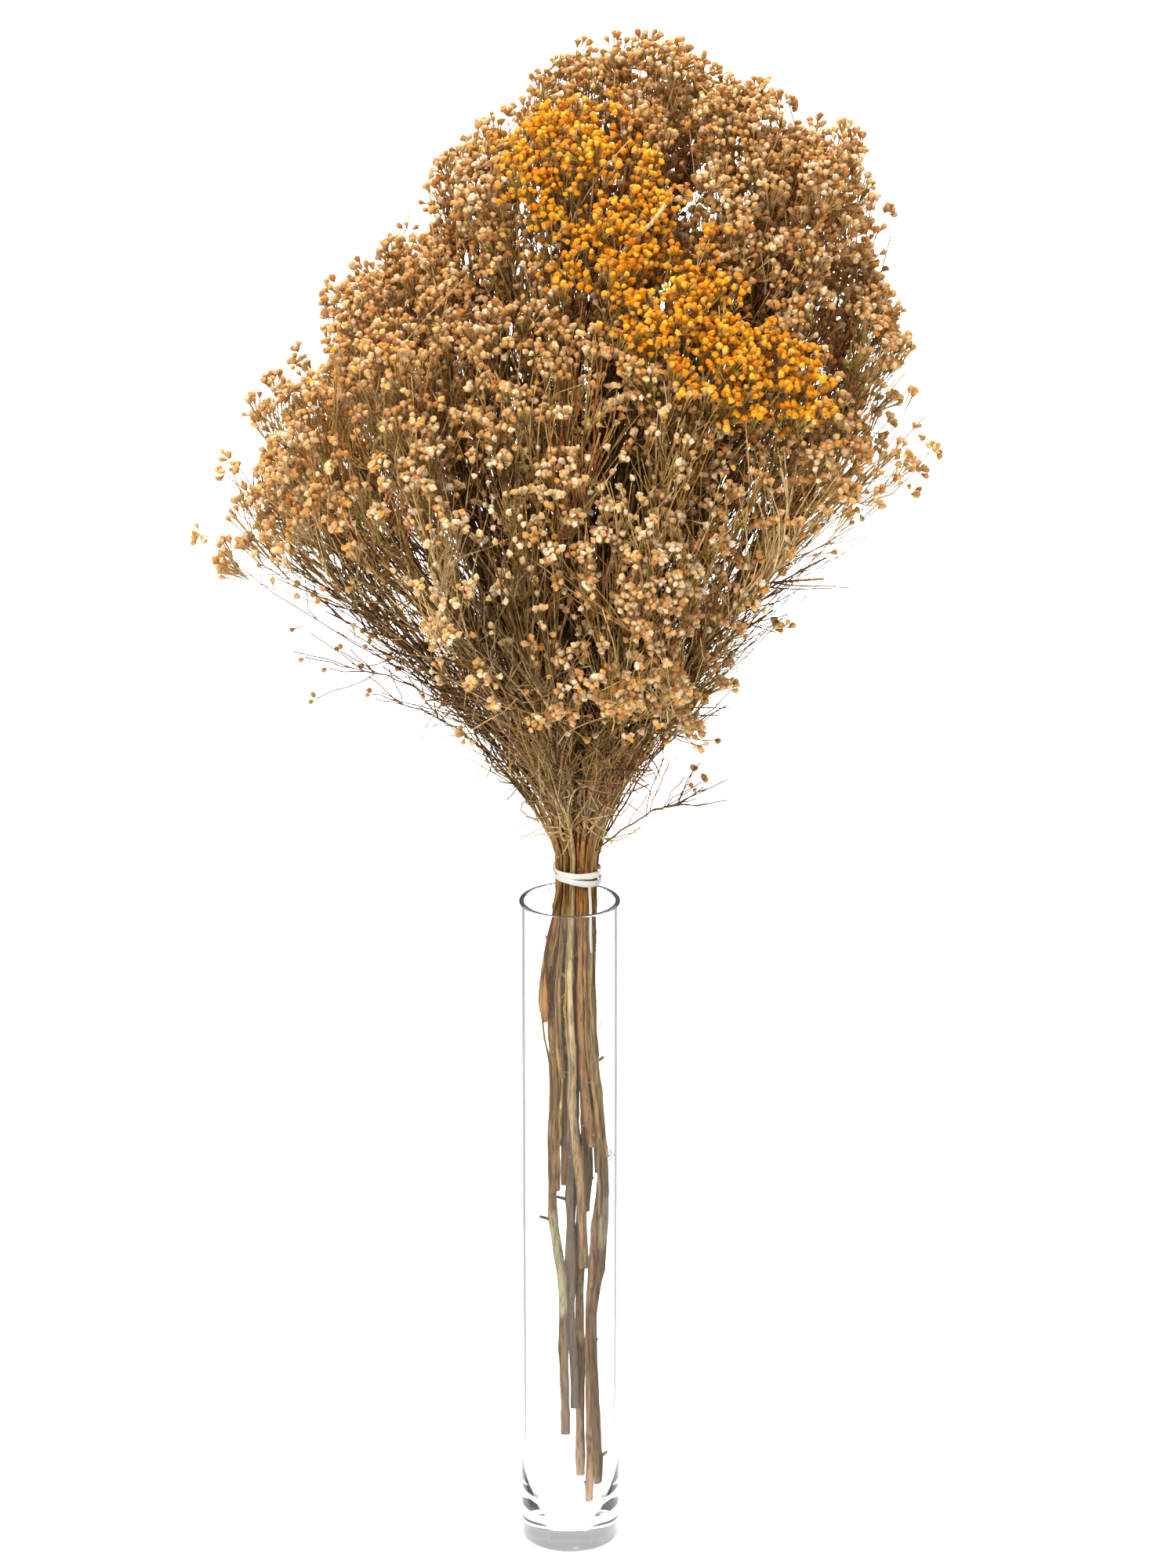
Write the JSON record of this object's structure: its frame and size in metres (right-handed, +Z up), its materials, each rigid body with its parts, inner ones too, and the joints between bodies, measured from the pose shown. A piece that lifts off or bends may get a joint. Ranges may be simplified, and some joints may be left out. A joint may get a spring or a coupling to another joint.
{
  "type": "dried broom in vase",
  "caption": "Tied bunch of dried flowering broom with flat-topped clusters of small papery heads, standing in a tall clear cylinder vase.",
  "frame": {"origin": "centre of the vase's flat underside", "axes": "+Z up along the vase's axis, -Y towards the front, from which the picture was taken, +X to its right"},
  "size_m": [0.4032, 0.383, 0.8825],
  "materials": {
    "clear_glass": "gloss",
    "white_band": "satin",
    "dried_orange": "matte",
    "dried_straw": "matte",
    "dried_tan": "matte",
    "dried_brown": "matte",
    "dried_cream": "matte",
    "dried_fawn": "matte"
  },
  "bodies": {
    "root": {"vase": "clear_glass", "tie": "white_band", "spray_01": "dried_orange", "spray_02": "dried_brown", "spray_03": "dried_straw", "spray_04": "dried_tan", "spray_05": "dried_tan", "spray_06": "dried_cream", "spray_07": "dried_orange", "spray_08": "dried_tan", "spray_09": "dried_brown", "spray_10": "dried_tan", "spray_11": "dried_fawn", "spray_12": "dried_tan", "spray_13": "dried_tan", "spray_14": "dried_tan", "spray_15": "dried_cream", "spray_16": "dried_cream", "spray_17": "dried_cream", "spray_18": "dried_fawn", "spray_19": "dried_straw"}
  },
  "joints": []
}
